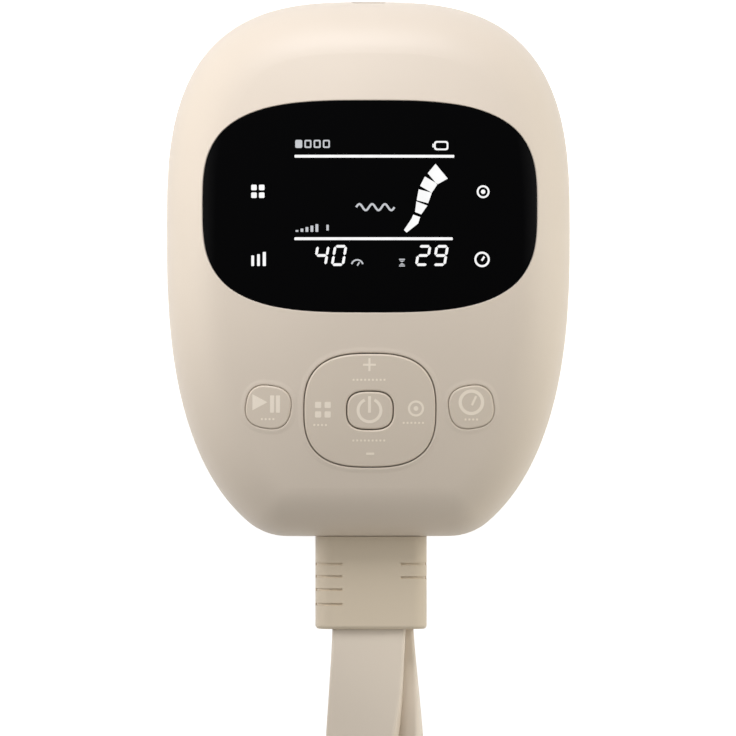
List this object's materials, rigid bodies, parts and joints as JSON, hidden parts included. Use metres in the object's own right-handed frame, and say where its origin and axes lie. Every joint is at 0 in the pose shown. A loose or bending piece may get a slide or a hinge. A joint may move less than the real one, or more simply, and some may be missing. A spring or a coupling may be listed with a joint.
{
  "type": "compression therapy pump",
  "caption": "Hand-held controller of a leg compression device, with a display, push keys, a rocker ring and flat air hoses on one plug.",
  "frame": {"origin": "below the middle of the controller's box, on the surface that its feet stand on", "axes": "+Z out of the display, +Y to the head, away from the hoses, +X to the controller's right"},
  "size_m": [0.2534, 0.3353, 0.049],
  "materials": {
    "shell": "soft-touch satin, warm beige",
    "lens": "high gloss black",
    "key": "satin, warm beige",
    "plug": "satin, warm beige",
    "hose": "soft beige tubing",
    "connector": "satin, warm beige",
    "tie": "hook and loop strap",
    "foot": "dark rubber",
    "inner_plastic": "natural moulding",
    "dark_plastic": "black moulding",
    "silicone": "translucent silicone",
    "board": "green solder mask",
    "steel": "plated steel",
    "can": "nickel plated can",
    "cell_wrap": "shrink wrap",
    "glass": "display glass",
    "white": "white diffuser",
    "print": "pale printed marks"
  },
  "bodies": {
    "housing": {"front_shell": "shell", "rear_shell": "shell", "display_lens": "lens", "rubber_feet": "foot", "case_screws": "steel", "lcd_panel": "glass", "lcd_backlight": "white", "lcd_frame": "dark_plastic", "key_frame": "inner_plastic", "power_dome": "silicone", "play_pause_dome": "silicone", "timer_dome": "silicone", "level_domes": "silicone", "mode_domes": "silicone", "keypad_mat": "silicone", "main_board": "board", "board_screws": "steel", "board_chips": "dark_plastic", "buzzer": "dark_plastic", "charge_port": "can", "battery_cells": "cell_wrap", "battery_holder": "dark_plastic", "board_connectors": "inner_plastic", "inner_leads": "dark_plastic", "pump_motor": "can", "pump_head": "dark_plastic", "wobble_plate": "inner_plastic", "pump_diaphragm": "silicone", "pump_cover": "dark_plastic", "pump_mounts": "foot", "valve_manifold": "inner_plastic", "valve_bodies": "dark_plastic", "valve_spring_1": "steel", "valve_spring_2": "steel", "valve_spring_3": "steel", "valve_spring_4": "steel", "air_tubes": "silicone", "pressure_sensor": "dark_plastic", "air_socket": "inner_plastic", "socket_seals": "foot"},
    "power_button": {"power_button": "key"},
    "play_pause_button": {"play_pause_button": "key"},
    "timer_button": {"timer_button": "key"},
    "rocker_carrier": {"rocker_carrier": "inner_plastic"},
    "rocker_ring": {"rocker_ring": "key"},
    "hose_set": {"hose_plug": "plug", "hose_front_lead": "hose", "hose_rear_lead": "hose", "hose_front_coil": "hose", "hose_rear_coil": "hose", "coil_ties": "tie", "front_leg_connector": "connector", "rear_leg_connector": "connector"},
    "pump_shaft": {"pump_shaft": "steel"},
    "valve_plunger_1": {"valve_plunger_1": "steel"},
    "valve_plunger_2": {"valve_plunger_2": "steel"},
    "valve_plunger_3": {"valve_plunger_3": "steel"},
    "valve_plunger_4": {"valve_plunger_4": "steel"}
  },
  "joints": [
    {"name": "power_press", "type": "slide", "parent": "housing", "child": "power_button", "axis": [0, 0, -1], "range_m": [0, 0.0007], "stiffness_N_per_m": 1800, "springref_m": -0.00025, "deforming": ["power_dome"]},
    {"name": "play_pause_press", "type": "slide", "parent": "housing", "child": "play_pause_button", "axis": [0, 0, -1], "range_m": [0, 0.0007], "stiffness_N_per_m": 1800, "springref_m": -0.00025, "deforming": ["play_pause_dome"]},
    {"name": "timer_press", "type": "slide", "parent": "housing", "child": "timer_button", "axis": [0, 0, -1], "range_m": [0, 0.0007], "stiffness_N_per_m": 1800, "springref_m": -0.00025, "deforming": ["timer_dome"]},
    {"name": "mode_tilt", "type": "hinge", "parent": "housing", "child": "rocker_carrier", "pos_m": [0, -0.0385, 0.035], "axis": [0, 1, 0], "range_deg": [-1, 1], "stiffness_Nm_per_rad": 0.45, "deforming": ["mode_domes"]},
    {"name": "level_tilt", "type": "hinge", "parent": "rocker_carrier", "child": "rocker_ring", "pos_m": [0, -0.0385, 0.035], "axis": [1, 0, 0], "range_deg": [-1, 1], "stiffness_Nm_per_rad": 0.45, "deforming": ["level_domes"]},
    {"name": "plug_pull", "type": "slide", "parent": "housing", "child": "hose_set", "axis": [0, -1, 0], "range_m": [0, 0.018]},
    {"name": "pump_spin", "type": "hinge", "parent": "housing", "child": "pump_shaft", "pos_m": [-0.03, -0.02, 0.017], "axis": [0, 1, 0], "continuous": true},
    {"name": "valve_1_lift", "type": "slide", "parent": "housing", "child": "valve_plunger_1", "axis": [0, 0, 1], "range_m": [0, 0.001], "stiffness_N_per_m": 500, "springref_m": -0.002, "deforming": ["valve_spring_1"]},
    {"name": "valve_2_lift", "type": "slide", "parent": "housing", "child": "valve_plunger_2", "axis": [0, 0, 1], "range_m": [0, 0.001], "stiffness_N_per_m": 500, "springref_m": -0.002, "deforming": ["valve_spring_2"]},
    {"name": "valve_3_lift", "type": "slide", "parent": "housing", "child": "valve_plunger_3", "axis": [0, 0, 1], "range_m": [0, 0.001], "stiffness_N_per_m": 500, "springref_m": -0.002, "deforming": ["valve_spring_3"]},
    {"name": "valve_4_lift", "type": "slide", "parent": "housing", "child": "valve_plunger_4", "axis": [0, 0, 1], "range_m": [0, 0.001], "stiffness_N_per_m": 500, "springref_m": -0.002, "deforming": ["valve_spring_4"]}
  ]
}
